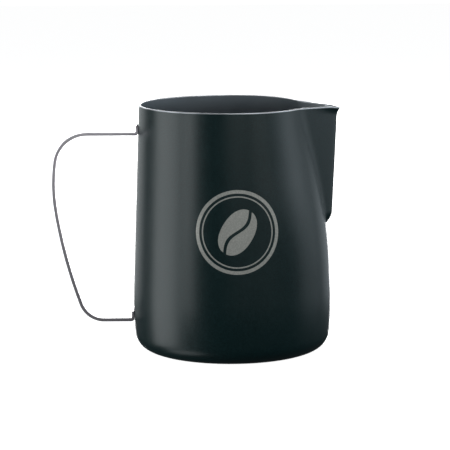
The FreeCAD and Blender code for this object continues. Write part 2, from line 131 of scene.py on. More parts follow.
class StrapSizes(bpy.types.PropertyGroup):
    """Sizes of the bent strip handle."""

    width: size_of("Width", "Width of the strip", STRAP_HIGH.y - STRAP_LOW.y)
    gauge: size_of("Gauge", "Thickness of the strip", 1.5 * MM, 5)
    edge: size_of("Edge Rounding", "Rounding of the strip's long edges", 0.15 * MM, 5)
    reach: size_of("Reach", "Middle of the bow from the cup's axis", 79.1 * MM)
    upper_run: size_of("Upper Run", "Height of the upper run's middle line", 97.3 * MM)
    lower_run: size_of("Lower Run", "Height of the lower run's middle line", 13.4 * MM)
    bow_height: size_of("Bow Height", "Height of the bow's widest point", 74.0 * MM)
    bow_arc: size_of("Bow Arc", "Radius of the bow", 73.0 * MM)
    bow_change: size_of("Bow Change", "Where the bow eases, below its widest point", 10.2 * MM)
    top_bend: size_of("Top Bend", "Radius of the bend at the top", 14.5 * MM)
    bottom_bend: size_of("Bottom Bend", "Radius of the bend at the foot", 11.0 * MM)
    lower_run_length: size_of("Lower Run Length", "From the lower tab to the bottom bend", 13.05 * MM)
    tab_bend: size_of("Tab Bend", "Radius by which each tab turns up", 1.2 * MM)
    tab_press: size_of("Tab Press", "How much thinner the tabs are pressed", 0.45 * MM, 5)
    upper_tab: size_of("Upper Tab", "Upper tab above its run's middle line", 3.1 * MM)
    lower_tab: size_of("Lower Tab", "Lower tab above its run's middle line", 3.9 * MM)


class WeldSizes(bpy.types.PropertyGroup):
    """Sizes of the spot welds."""

    radius: size_of("Radius", "Radius of one weld mark", 0.8 * MM, 5)
    proud: size_of("Proud", "Height of the weld's ring over the tab", 0.12 * MM, 5)


class CoatFinish(bpy.types.PropertyGroup):
    """Colours of the coat, the strip and the steel, and the place of the etched mark."""

    coat: colour_of("Coat", "Colour of the cup's coat", (0.0016, 0.0130, 0.0140))
    # The lining is painted lighter near the rim and much darker deeper down in the cup, as painted light
    # and shade.
    lining: colour_of(
        "Lining", "Colour of the coat inside, scuffed by steam and washing", (0.13, 0.15, 0.168))
    strap: colour_of("Strip", "Colour of the strip's satin finish", (0.36, 0.335, 0.355))
    # Steel and Worn Edge colour the rim's edge as worn bare steel that is also a painted highlight of the
    # light the rounded rim catches.
    steel: colour_of("Steel", "Bare steel of the mark and of worn edges", (0.46, 0.455, 0.42))
    edge: colour_of("Worn Edge", "Steel showing along the rim's polished edge", (0.48, 0.50, 0.53))
    mark_height: size_of("Mark Height", "Height of the mark's middle", 59.0 * MM)
    mark_aside: size_of("Mark Aside", "Mark's middle towards the spout, along the wall", 2.6 * MM)
    mark_radius: size_of("Mark Radius", "Radius of the mark's ring", 17.5 * MM)


class StudioSizes(bpy.types.PropertyGroup):
    """Camera and light of the studio."""

    distance: size_of("Distance", "Camera in front of the cup's axis", 0.8872, 2)
    height: size_of("Height", "Camera above the table", 0.1995, 2)
    tilt: angle_of("Tilt", "Camera looking down", 9.23)
    turn: angle_of("Turn", "Camera turned towards the handle", 0.19)
    roll: angle_of("Roll", "Camera rolled about its own line of sight", -0.36)
    lens: amount_of("Lens", "Focal length in millimetres", 160.2)
    side: amount_of("Side Light", "Brightness of the tall light on the handle's side", 2.6)
    side_fill: amount_of("Side Fill", "Brightness beside the tall light", 2.6)
    back: amount_of("Back Light", "Brightness of the sheet behind the pitcher", 8.5)
    wings: amount_of("Back Wings", "Brightness to both sides of that sheet", 0.8)
    fill: amount_of("Fill Light", "Brightness of the soft lights on the spout's side", 2.2)
    top: amount_of("Top Light", "Brightness of the light overhead", 3.2)


# ------------------------------------------------------------------ modelling helpers


def start_clean():
    """Object mode with nothing selected."""
    if bpy.context.mode != "OBJECT":
        bpy.ops.object.mode_set(mode="OBJECT")
    bpy.ops.object.select_all(action="DESELECT")


def pick(piece):
    """Object mode with one piece selected."""
    start_clean()
    bpy.context.view_layer.objects.active = piece
    piece.select_set(True)


def edit_all(piece):
    """Edit mode on one piece with everything selected."""
    pick(piece)
    bpy.ops.object.mode_set(mode="EDIT")
    bpy.ops.mesh.select_all(action="SELECT")


def choose(piece, kind, wanted):
    """In edit mode: selects the vertices, edges or faces for which wanted(element) is true."""
    bpy.ops.mesh.select_all(action="DESELECT")
    bpy.ops.mesh.select_mode(type={"vertices": "VERT", "edges": "EDGE", "polygons": "FACE"}[kind])
    bpy.ops.object.mode_set(mode="OBJECT")
    for element in getattr(piece.data, kind):
        element.select = bool(wanted(element))
    bpy.ops.object.mode_set(mode="EDIT")


def shift(x=0.0, y=0.0, z=0.0):
    """Moves the selection."""
    bpy.ops.transform.translate(value=(x, y, z), orient_type="GLOBAL")


def pull(x=0.0, y=0.0, z=0.0):
    """Extrudes the selection by a straight move."""
    bpy.ops.mesh.extrude_region_move(TRANSFORM_OT_translate={"value": (x, y, z)})


def grow(ratio, centre):
    """Scales the selection about the cup's axis."""
    bpy.ops.transform.resize(value=(ratio, ratio, 1.0), center_override=centre)


def settle(piece):
    """Puts the piece's place into its mesh."""
    pick(piece)
    bpy.ops.object.transform_apply(location=True, rotation=True, scale=True)


def apply_modifier(piece, kind, **settings):
    """Adds a modifier with its settings and applies it."""
    pick(piece)
    modifier = piece.modifiers.new(kind.title(), kind)
    for name, value in settings.items():
        setattr(modifier, name, value)
    bpy.ops.object.modifier_apply(modifier=modifier.name)


def smooth(piece, angle):
    """Smooth shading, with edges sharper than the angle left sharp."""
    pick(piece)
    bpy.ops.object.shade_smooth_by_angle(angle=math.radians(angle))


def keep_inside(piece, name):
    """Draws a piece in by the hair's breadth by which its box stands over its CAD node's box."""
    low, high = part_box(name)
    corners = [vertex.co for vertex in piece.data.vertices]
    for axis in range(3):
        least = min(corner[axis] for corner in corners)
        most = max(corner[axis] for corner in corners)
        middle = (low[axis] + high[axis]) / 2.0
        ratio = min((high[axis] - middle) / (most - middle), (middle - low[axis]) / (middle - least), 1.0)
        for corner in corners:
            corner[axis] = middle + (corner[axis] - middle) * ratio


def finish_piece(piece, name, material, slot, *nodes):
    """Names a piece, gives it its finish and lets it stand for its CAD nodes."""
    piece.name = name
    piece.data.name = name
    piece.data.materials.clear()
    piece.data.materials.append(material)
    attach(piece, BODY)
    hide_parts(*nodes)


def spaced(start, end, count):
    """Evenly spaced values from start up to but not including end."""
    return [start + (end - start) * i / count for i in range(count)]


def ease(share):
    """Smooth rise from 0 to 1."""
    share = min(max(share, 0.0), 1.0)
    return share * share * (3.0 - 2.0 * share)


# ------------------------------------------------------------------ form of the cup


class CupForm:
    """Outline of the drawn cup and the press that makes its spout."""

    CORNER_ROWS, WALL_ROWS, CHIN_ROWS, SPOUT_ROWS, LIP_ROWS = 10, 20, 20, 24, 10
    FLANK_OVER_RIM = 8.0 * MM       # the flanks would reach full depth this far over the rim
    FLANK_OPENING = 1.6             # how soon, going up, they reach their full width
    DIP_ROUNDING = 4.0              # degrees from the lip over which the dip starts softly
    DIP_END, DIP_FADE = 170.0, 80.0     # degrees from the spout where it ends, and its run-out
    DIP_DEPTH = 30.0 * MM           # height of wall over which the dip is taken up
    GATHERING = 0.8                 # how much closer the wall's points lie near the spout

    def __init__(self, cup, spout):
        self.cup, self.spout = cup, spout
        self.tan = math.tan(cup.taper)
        self.belly_r = (cup.rim_radius + (cup.height - cup.belly_top) * self.tan
                        - cup.belly_arc * math.cos(cup.taper))
        self.belly_z = cup.belly_top - cup.belly_arc * math.sin(cup.taper)
        reach = cup.belly_arc - cup.corner
        self.corner_r = self.belly_r + math.sqrt(reach ** 2 - (self.belly_z - cup.corner) ** 2)
        self.corner_end = math.asin((self.belly_z - cup.corner) / reach)
        self.corner_top = cup.corner - cup.corner * math.sin(self.corner_end)
        self.chin_z = cup.height - spout.length

    def radius(self, z):
        """Round wall at height z, above the base corner."""
        cup = self.cup
        if z >= cup.belly_top:
            return cup.rim_radius + (cup.height - z) * self.tan
        return self.belly_r + math.sqrt(cup.belly_arc ** 2 - (z - self.belly_z) ** 2)

    def outline(self):
        """Points (radius, height) up the round cup, closer together at the chin and the lip."""
        cup, top = self.cup, self.cup.height
        points = []
        for swing in spaced(math.pi / 2.0, self.corner_end, self.CORNER_ROWS):
            points.append((self.corner_r + cup.corner * math.cos(swing),
                           cup.corner - cup.corner * math.sin(swing)))
        chin_low, chin_high, lip_low = self.chin_z - 9.0 * MM, self.chin_z + 3.0 * MM, top - 6.0 * MM
        rows = spaced(self.corner_top, chin_low, self.WALL_ROWS)
        rows += spaced(chin_low, chin_high, self.CHIN_ROWS)
        rows += spaced(chin_high, lip_low, self.SPOUT_ROWS)
        rows += spaced(lip_low, top, self.LIP_ROWS) + [top]
        return points + [(self.radius(z), z) for z in rows]

    def flank(self, angle, z):
        """Round wall with the flanks beside the spout pressed in."""
        spout = self.spout
        up = z - self.cup.height + spout.flank_length
        up /= spout.flank_length + self.FLANK_OVER_RIM
        widening = ease(up * self.FLANK_OPENING)
        far = spout.flank_far_low + (spout.flank_far - spout.flank_far_low) * widening
        around = (far - angle) / (far - spout.flank_near)
        return self.radius(z) - spout.flank_press * ease(up) * ease(around)

    def ridge(self, z):
        """The spout's ridge from the axis; the chin runs back into the wall."""
        spout = self.spout
        distance = self.cup.rim_radius + spout.overhang - (self.cup.height - z) * math.tan(spout.lean)
        below = self.chin_z - z
        arc_end = spout.chin_round * math.sin(spout.chin_slope)
        if below > arc_end:
            distance -= spout.chin_round * (1.0 - math.cos(spout.chin_slope))
            distance -= (below - arc_end) * math.tan(spout.chin_slope)
        elif below > 0.0:
            distance -= spout.chin_round - math.sqrt(spout.chin_round ** 2 - below ** 2)
        return max(distance, self.cup.rim_radius / 2.0)

    def vee(self, angle, z):
        """The V of the spout with its ridge rounded."""
        spread = 1.0 / math.tan(self.spout.half_angle)
        rounding = self.spout.ridge_round
        apex = self.ridge(z) + spread * rounding
        angle = min(angle, math.pi / 2.0 - self.spout.half_angle)
        c = math.cos(angle)
        k = c * c - (spread * math.sin(angle)) ** 2
        rest = apex ** 2 - (spread * rounding) ** 2
        return rest / (apex * c + math.sqrt((apex * c) ** 2 - k * rest))

    def dip(self, angle):
        """How far the rim lies below its highest level."""
        spout, degrees = self.spout, math.degrees(angle)
        away = math.hypot(degrees, self.DIP_ROUNDING) - self.DIP_ROUNDING
        sink = spout.rim_dip * math.exp(-away / math.degrees(spout.rim_dip_spread))
        sink *= ease((self.DIP_END - degrees) / self.DIP_FADE)
        return sink + spout.tip_drop * math.exp(-(angle / spout.tip_drop_spread) ** 2)

    def pressed(self, angle, z):
        """Outside of the cup at an angle from the spout and a height."""
        flank, vee, blend = self.flank(angle, z), self.vee(angle, z), self.spout.crease_blend
        nearness = max(blend - abs(flank - vee), 0.0) / blend
        radius = max(flank, vee) + nearness * nearness * blend / 4.0
        lip = 1.0 - (self.cup.height - self.dip(angle) - z) / self.spout.lip_length
        if lip > 0.0 and angle < math.pi / 2.0:
            aside = radius * math.sin(angle) / self.spout.lip_half_width
            radius += self.spout.lip_flare * lip * lip * math.exp(-aside * aside)
        return radius

    def press(self, place):
        """Where the press moves a point of the round cup's wall."""
        turn = math.atan2(place.y, place.x)
        angle = turn - self.GATHERING * math.sin(turn)
        if place.z < self.corner_top - SAME:
            radius = math.hypot(place.x, place.y)
            return Vector((radius * math.cos(angle), radius * math.sin(angle), place.z))
        follow = ease((place.z - self.cup.height + self.DIP_DEPTH) / self.DIP_DEPTH)
        z = place.z - self.dip(abs(angle)) * follow
        radius = self.pressed(abs(angle), z)
        return Vector((radius * math.cos(angle), radius * math.sin(angle), z))


# ------------------------------------------------------------------ finishes


def socket(group, name, kind, direction, value=None):
    """Gives a node group an input or an output."""
    made = group.interface.new_socket(name=name, in_out=direction, socket_type=kind)
    if value is not None:
        made.default_value = value


def node(tree, kind, place=(0, 0), **values):
    """Adds a node, with values for inputs named in lower case."""
    made = tree.nodes.new(kind)
    made.location = place
    for name, value in values.items():
        made.inputs[name.title()].default_value = value
    return made


def attribute(tree, name, place):
    """A value painted on the piece's vertices."""
    made = node(tree, "ShaderNodeAttribute", place)
    made.attribute_name = name
    return made.outputs["Fac"]


def height_of(tree, place):
    """Height of a point of the surface, in metres above the table."""
    made = node(tree, "ShaderNodeSeparateXYZ", (-1000, -500))
    link(tree, place, made.inputs[0])
    return made.outputs["Z"]


def link(tree, source, target):
    """Joins an output to an input."""
    tree.links.new(source, target)


def feed(tree, target, value):
    """Gives an input a plain value or joins an output to it."""
    if isinstance(value, (int, float, tuple)):
        target.default_value = value
    else:
        link(tree, value, target)


def maths(tree, operation, *values):
    """A Math node on values or sockets; returns its output."""
    made = tree.nodes.new("ShaderNodeMath")
    made.operation = operation
    for target, value in zip(made.inputs, values):
        feed(tree, target, value)
    return made.outputs[0]


def band(tree, value, low, high):
    """0 below low, 1 above high, smooth between."""
    made = tree.nodes.new("ShaderNodeMapRange")
    made.interpolation_type = "SMOOTHSTEP"
    link(tree, value, made.inputs["Value"])
    made.inputs["From Min"].default_value = low
    made.inputs["From Max"].default_value = high
    return made.outputs["Result"]


def start_group(name, inputs, outputs):
    """A node group with a Vector, number inputs with their usual values, and number outputs."""
    group = bpy.data.node_groups.new(name, "ShaderNodeTree")
    socket(group, "Vector", "NodeSocketVector", "INPUT")
    for title, value in inputs.items():
        socket(group, title, "NodeSocketFloat", "INPUT", value)
    for title in outputs:
        socket(group, title, "NodeSocketFloat", "OUTPUT")
    return group, node(group, "NodeGroupInput", (-900, 0)), node(group, "NodeGroupOutput", (1200, 0))


def powder_grain_group():
    """Grain of a sprayed and baked coat: fine speckle, soft mottle and their height."""
    group, source, target = start_group(
        "Powder Grain", {"Speckle Scale": 2200.0, "Mottle Scale": 60.0}, ("Speckle", "Mottle", "Height"))
    fine = node(group, "ShaderNodeTexNoise", (-400, 200), detail=2.0, roughness=0.6)
    cells = node(group, "ShaderNodeTexVoronoi", (-400, -50))
    soft = node(group, "ShaderNodeTexNoise", (-400, -300), detail=3.0, roughness=0.55)
    for made in (fine, cells, soft):
        link(group, source.outputs["Vector"], made.inputs["Vector"])
    link(group, source.outputs["Speckle Scale"], fine.inputs["Scale"])
    link(group, source.outputs["Speckle Scale"], cells.inputs["Scale"])
    link(group, source.outputs["Mottle Scale"], soft.inputs["Scale"])
    height = maths(group, "ADD", maths(group, "MULTIPLY", fine.outputs[0], 0.6),
                   maths(group, "MULTIPLY", cells.outputs["Distance"], 0.4))
    link(group, band(group, fine.outputs[0], 0.38, 0.66), target.inputs["Speckle"])
    link(group, soft.outputs[0], target.inputs["Mottle"])
    link(group, height, target.inputs["Height"])
    return group


def edge_wear_and_highlight_group():
    """Mask along an edge, broken up by noise: worn bare steel and a painted highlight on the rim, a
    painted highlight on the strip's edges.
    """
    group, source, target = start_group("Edge Wear", {"Edge": 0.0, "Break Up": 0.5}, ("Wear",))
    patches = node(group, "ShaderNodeTexNoise", (-400, 0), scale=140.0, detail=4.0, roughness=0.6)
    link(group, source.outputs["Vector"], patches.inputs["Vector"])
    uneven = maths(group, "MULTIPLY", maths(group, "SUBTRACT", patches.outputs[0], 0.5),
                   source.outputs["Break Up"])
    link(group, band(group, maths(group, "ADD", source.outputs["Edge"], uneven), 0.45, 0.75),
         target.inputs["Wear"])
    return group


def bean_mark_group(finish, cup):
    """A generic coffee bean inside two plain rings, etched on the wall's front."""
    group, source, target = start_group("Bean Mark", {}, ("Mark",))
    split = node(group, "ShaderNodeSeparateXYZ", (-700, 0))
    link(group, source.outputs["Vector"], split.inputs[0])
    x, y, z = split.outputs
    front = maths(group, "MULTIPLY", y, -1.0)
    turn = maths(group, "ARCTAN2", x, front)
    wall = cup.rim_radius + (cup.height - finish.mark_height) * math.tan(cup.taper)
    u = maths(group, "SUBTRACT", maths(group, "MULTIPLY", turn, wall / MM), finish.mark_aside / MM)
    v = maths(group, "SUBTRACT", maths(group, "MULTIPLY", z, 1.0 / MM), finish.mark_height / MM)
    away = maths(group, "SQRT", maths(group, "ADD", maths(group, "MULTIPLY", u, u),
                                      maths(group, "MULTIPLY", v, v)))
    # All sizes from here on are in millimetres.
    soft, facing = 0.06, maths(group, "GREATER_THAN", front, 0.0)

    def ring(radius, half_width):
        """A plain ring."""
        off = maths(group, "ABSOLUTE", maths(group, "SUBTRACT", away, radius))
        return maths(group, "SUBTRACT", 1.0, band(group, off, half_width - soft, half_width + soft))

    def swollen(distance, half_size):
        """One term of the bean's full oval."""
        share = maths(group, "ABSOLUTE", maths(group, "DIVIDE", distance, half_size))
        return maths(group, "POWER", share, 2.2)

    outer, inner = finish.mark_radius / MM, finish.mark_radius / MM - 2.2
    rings = maths(group, "MAXIMUM", ring(outer, 0.75), ring(inner, 0.28))
    lean, half_length, half_breadth = math.radians(32.0), 10.6, 7.0
    seam_swing, seam_half_width = 1.7, 0.72
    along = maths(group, "ADD", maths(group, "MULTIPLY", u, math.sin(lean)),
                  maths(group, "MULTIPLY", v, math.cos(lean)))
    across = maths(group, "SUBTRACT", maths(group, "MULTIPLY", u, math.cos(lean)),
                   maths(group, "MULTIPLY", v, math.sin(lean)))
    oval = maths(group, "ADD", swollen(along, half_length), swollen(across, half_breadth))
    bean = maths(group, "SUBTRACT", 1.0, band(group, oval, 0.985, 1.015))
    wave = maths(group, "SINE", maths(group, "MULTIPLY", along, math.pi / half_length))
    wave = maths(group, "MULTIPLY", wave, seam_swing)
    seam = maths(group, "ABSOLUTE", maths(group, "SUBTRACT", across, wave))
    gap = band(group, seam, seam_half_width - soft, seam_half_width + soft)
    mark = maths(group, "MAXIMUM", rings, maths(group, "MULTIPLY", bean, gap))
    link(group, maths(group, "MULTIPLY", mark, facing), target.inputs["Mark"])
    return group


def plain_material(name):
    """A material with a bare Principled shader; returns both."""
    material = bpy.data.materials.new(name)
    material.use_nodes = True
    return material, material.node_tree.nodes["Principled BSDF"]


def shader_material(name):
    """A plain material with its node tree and the piece's own coordinates."""
    material, shader = plain_material(name)
    tree = material.node_tree
    place = node(tree, "ShaderNodeTexCoord", (-1400, 0)).outputs["Object"]
    return material, tree, shader, place


def placed(tree, group, vector, **values):
    """Places a shared group in a material with its own values."""
    made = tree.nodes.new("ShaderNodeGroup")
    made.node_tree = group
    link(tree, vector, made.inputs["Vector"])
    for name, value in values.items():
        feed(tree, made.inputs[name.replace("_", " ").title()], value)
    return made


def mixed(tree, share, first, second):
    """Colour between two colours or sockets."""
    made = tree.nodes.new("ShaderNodeMix")
    made.data_type = "RGBA"
    # The node has inputs for numbers, vectors and colours; these are the ones for colours.
    factor, first_colour, second_colour = made.inputs[0], made.inputs[6], made.inputs[7]
    colour = made.outputs[2]
    feed(tree, factor, share)
    feed(tree, first_colour, first)
    feed(tree, second_colour, second)
    return colour


def between(tree, share, low, high):
    """Value between low and high by a share from 0 to 1."""
    return maths(tree, "ADD", maths(tree, "MULTIPLY", share, high - low), low)


def shade(colour, factor=1.0):
    """A colour made lighter or darker, with its alpha."""
    return tuple(min(part * factor, 1.0) for part in colour) + (1.0,)


def relief(tree, shader, height, strength, distance):
    """Bumps a shader's surface by a height."""
    bump = node(tree, "ShaderNodeBump", (-300, -500))
    bump.inputs["Strength"].default_value = strength
    bump.inputs["Distance"].default_value = distance
    link(tree, height, bump.inputs["Height"])
    link(tree, bump.outputs["Normal"], shader.inputs["Normal"])


def cup_coat_material(finish, cup, groups):
    """Matt dark coat with its grain and the etched mark; bare steel on the rim as worn edge and painted
    highlight; a lining with painted light and shade.
    """
    material, tree, shader, place = shader_material("Cup Coat")
    grain = placed(tree, groups["grain"], place, speckle_scale=1700.0, mottle_scale=45.0)
    rim = attribute(tree, "rim_edge", (-1400, -300))
    wear = placed(tree, groups["wear"], place, edge=rim, break_up=0.55).outputs[0]
    mark = placed(tree, groups["mark"], place).outputs[0]
    coat = mixed(tree, grain.outputs["Speckle"], shade(finish.coat, 0.62), shade(finish.coat, 1.65))
    coat = mixed(tree, grain.outputs["Mottle"], coat, shade(finish.coat, 1.15))
    inside = attribute(tree, "inside", (-1400, -500))
    # Painted light and shade: the lining is painted lighter near the rim and much darker deeper down in
    # the cup.
    painted_rim_light = band(tree, height_of(tree, place), cup.height - 8.0 * MM, cup.height + 0.5 * MM)
    lining = mixed(tree, painted_rim_light, shade(finish.lining, 0.16), shade(finish.lining, 1.3))
    lining = mixed(tree, grain.outputs["Mottle"], lining, shade(finish.lining, 0.75))
    coat = mixed(tree, inside, coat, lining)
    # Bare steel on the rim's edge is worn coat and painted highlight at once; the etched mark is bare
    # steel too.
    bare = maths(tree, "MAXIMUM", wear, mark)
    steel = mixed(tree, grain.outputs["Speckle"], shade(finish.steel, 0.86), shade(finish.steel, 1.08))
    steel = mixed(tree, wear, steel, shade(finish.edge))
    link(tree, mixed(tree, bare, coat, steel), shader.inputs["Base Color"])
    rough = between(tree, grain.outputs["Speckle"], 0.29, 0.37)
    uneven = between(tree, grain.outputs["Mottle"], -0.03, 0.03)
    scuffed = maths(tree, "MULTIPLY", inside, 0.03)
    rough = maths(tree, "ADD", maths(tree, "ADD", rough, uneven), scuffed)
    link(tree, rough, shader.inputs["Roughness"])
    metal = maths(tree, "ADD", maths(tree, "MULTIPLY", wear, 0.6), maths(tree, "MULTIPLY", mark, 0.25))
    link(tree, metal, shader.inputs["Metallic"])
    height = maths(tree, "SUBTRACT", grain.outputs["Height"], maths(tree, "MULTIPLY", mark, 0.35))
    relief(tree, shader, height, 0.22, 0.00005)
    shader.inputs["IOR"].default_value = 1.5
    return material


def strap_material(finish, strap, groups):
    """Satin strip: drawn lines along its length; its edges carry a painted highlight, painted lighter
    towards the upper run as painted light.
    """
    material, tree, shader, place = shader_material("Strip Satin")
    grain = placed(tree, groups["grain"], place, speckle_scale=1500.0, mottle_scale=70.0)
    edge = attribute(tree, "strip_edge", (-1400, -300))
    wear = placed(tree, groups["wear"], place, edge=edge, break_up=0.5).outputs[0]
    stretch = node(tree, "ShaderNodeMapping", (-1200, 300))
    stretch.inputs["Scale"].default_value = (60.0, 5200.0, 60.0)
    link(tree, place, stretch.inputs["Vector"])
    lines = node(tree, "ShaderNodeTexNoise", (-1000, 300), scale=1.0, detail=2.0)
    link(tree, stretch.outputs[0], lines.inputs["Vector"])
    body = mixed(tree, grain.outputs["Speckle"], shade(finish.strap, 0.85), shade(finish.strap, 1.12))
    # Painted light: held rises from the lower run to the upper run, and polished paints the strip's edge
    # highlight lighter towards the top and darker towards the bottom.
    held = band(tree, height_of(tree, place), strap.lower_run, strap.upper_run)
    polished = mixed(tree, held, shade(finish.strap, 1.25), shade(finish.strap, 2.5))
    body = mixed(tree, wear, body, polished)
    link(tree, body, shader.inputs["Base Color"])
    link(tree, between(tree, lines.outputs[0], 0.24, 0.36), shader.inputs["Roughness"])
    link(tree, between(tree, wear, 0.5, 0.6), shader.inputs["Metallic"])
    height = maths(tree, "ADD", maths(tree, "MULTIPLY", lines.outputs[0], 0.7),
                   maths(tree, "MULTIPLY", grain.outputs["Height"], 0.3))
    relief(tree, shader, height, 0.2, 0.00003)
    return material


def weld_material(finish, groups):
    """Weld mark: dull centre with a heat-darkened ring."""
    material, tree, shader, place = shader_material("Weld Mark")
    grain = placed(tree, groups["grain"], place, speckle_scale=2600.0, mottle_scale=420.0)
    ring = attribute(tree, "weld_ring", (-1400, -300))
    metal = mixed(tree, grain.outputs["Mottle"], shade(finish.steel, 0.42), shade(finish.steel, 0.62))
    scorched = shade((0.10, 0.085, 0.075))
    tone = mixed(tree, ring, metal, scorched)
    link(tree, tone, shader.inputs["Base Color"])
    link(tree, between(tree, grain.outputs["Speckle"], 0.42, 0.6), shader.inputs["Roughness"])
    shader.inputs["Metallic"].default_value = 0.8
    relief(tree, shader, grain.outputs["Height"], 0.4, 0.00004)
    return material


def shared_groups(scene):
    """The node groups, built once."""
    known = {"grain": "Powder Grain", "wear": "Edge Wear", "mark": "Bean Mark"}
    if known["grain"] not in bpy.data.node_groups:
        powder_grain_group()
        edge_wear_and_highlight_group()
        bean_mark_group(scene.pitcher_finish, scene.pitcher_cup)
    return {key: bpy.data.node_groups[name] for key, name in known.items()}


def paint(piece, name, worth):
    """Writes worth(vertex), a value from 0 to 1 or a yes or no, on each vertex."""
    layer = piece.data.attributes.new(name, "FLOAT", "POINT")
    for index, vertex in enumerate(piece.data.vertices):
        layer.data[index].value = float(worth(vertex))


# ------------------------------------------------------------------ operators


class PITCHER_OT_cup(bpy.types.Operator):
    """Draws the cup, presses its spout and gives the sheet its thickness"""

    bl_idname = "pitcher.cup"
    bl_label = "Build Cup"

    POINTS_AROUND = 168
    BASE_RINGS = [radius * MM for radius in (24.0, 16.0, 8.0, 2.0)]
    RIM_ROUNDING = 0.42             # of the sheet's thickness
    RIM_BAND = 0.36 * MM            # height of the rim's edge that shows bare steel, worn and also a painted highlight
    SHARP = 38.0                    # degrees between faces from which an edge stays sharp

    def execute(self, context):
        cup, spout = context.scene.pitcher_cup, context.scene.pitcher_spout
        form = CupForm(cup, spout)
        outline = form.outline()
        start_clean()
        bpy.ops.mesh.primitive_circle_add(
            vertices=self.POINTS_AROUND, radius=outline[0][0], location=(0, 0, 0))
        piece = context.active_object
        edit_all(piece)
        for (r0, z0), (r1, z1) in zip(outline, outline[1:]):
            pull(z=z1 - z0)
            grow(r1 / r0, (0, 0, z1))
        # Press the wall into its spout before the base is closed.
        bpy.ops.object.mode_set(mode="OBJECT")
        for vertex in piece.data.vertices:
            vertex.co = form.press(vertex.co)
        # Close the base: standing ring, sloping step, raised middle.
        edit_all(piece)
        choose(piece, "vertices", lambda v: v.co.z < SAME)
        bpy.ops.mesh.select_mode(type="EDGE")
        reach = outline[0][0]
        rings = [(cup.recess_radius, 0.0), (cup.recess_radius - cup.recess_slope, cup.recess_depth)]
        rings += [(radius, cup.recess_depth) for radius in self.BASE_RINGS]
        height = 0.0
        for radius, level in rings:
            pull(z=level - height)
            grow(radius / reach, (0, 0, level))
            reach, height = radius, level
        bpy.ops.mesh.edge_face_add()
        bpy.ops.mesh.select_all(action="SELECT")
        bpy.ops.mesh.normals_make_consistent(inside=False)
        bpy.ops.object.mode_set(mode="OBJECT")
        # A face low on the middle of the wall tells which way the sheet faces.
        wall = min(piece.data.polygons, key=lambda p: abs(p.center.z - 20.0 * MM) + abs(p.center.y))
        outward = Vector((wall.center.x, wall.center.y, 0.0))
        if wall.normal.dot(outward) < 0.0:
            piece.data.flip_normals()
        apply_modifier(piece, "SOLIDIFY", thickness=cup.gauge, offset=-1.0,
                       use_even_offset=True, use_quality_normals=True)
        # Round both edges of the rim's cut face.
        rim_low = cup.height - spout.rim_dip - spout.tip_drop - 0.6 * MM
        corners = piece.data.vertices
        rim_faces = [p for p in piece.data.polygons if p.center.z > rim_low and p.normal.z > 0.75]
        uses = Counter(key for face in rim_faces for key in face.edge_keys)
        rim_edges = {edge.index for edge in piece.data.edges if uses[edge.key] == 1
                     and min(corners[end].co.z for end in edge.vertices) >= rim_low}
        edit_all(piece)
        choose(piece, "edges", lambda edge: edge.index in rim_edges)
        bpy.ops.mesh.bevel(offset=cup.gauge * self.RIM_ROUNDING, segments=4, affect="EDGES")
        bpy.ops.object.mode_set(mode="OBJECT")

        def on_rim(vertex):
            """The rim's edge, painted as worn bare steel that is also a painted highlight."""
            rim = cup.height - form.dip(abs(math.atan2(vertex.co.y, vertex.co.x)))
            return vertex.co.z > rim - self.RIM_BAND

        def faces_in(vertex):
            """The inside of the sheet."""
            if math.hypot(vertex.co.x, vertex.co.y) < cup.recess_radius:
                return vertex.normal.z > 0.5
            return vertex.normal.x * vertex.co.x + vertex.normal.y * vertex.co.y < 0.0

        # The rim's edge is painted as worn bare steel that also gives a painted highlight.
        paint(piece, "rim_edge", on_rim)
        paint(piece, "inside", faces_in)
        settle(piece)
        keep_inside(piece, "pitcher_body")
        smooth(piece, self.SHARP)
        groups = shared_groups(context.scene)
        coat = cup_coat_material(context.scene.pitcher_finish, cup, groups)
        finish_piece(piece, "coated_cup", coat, "body_coat", "pitcher_body")
        return {"FINISHED"}


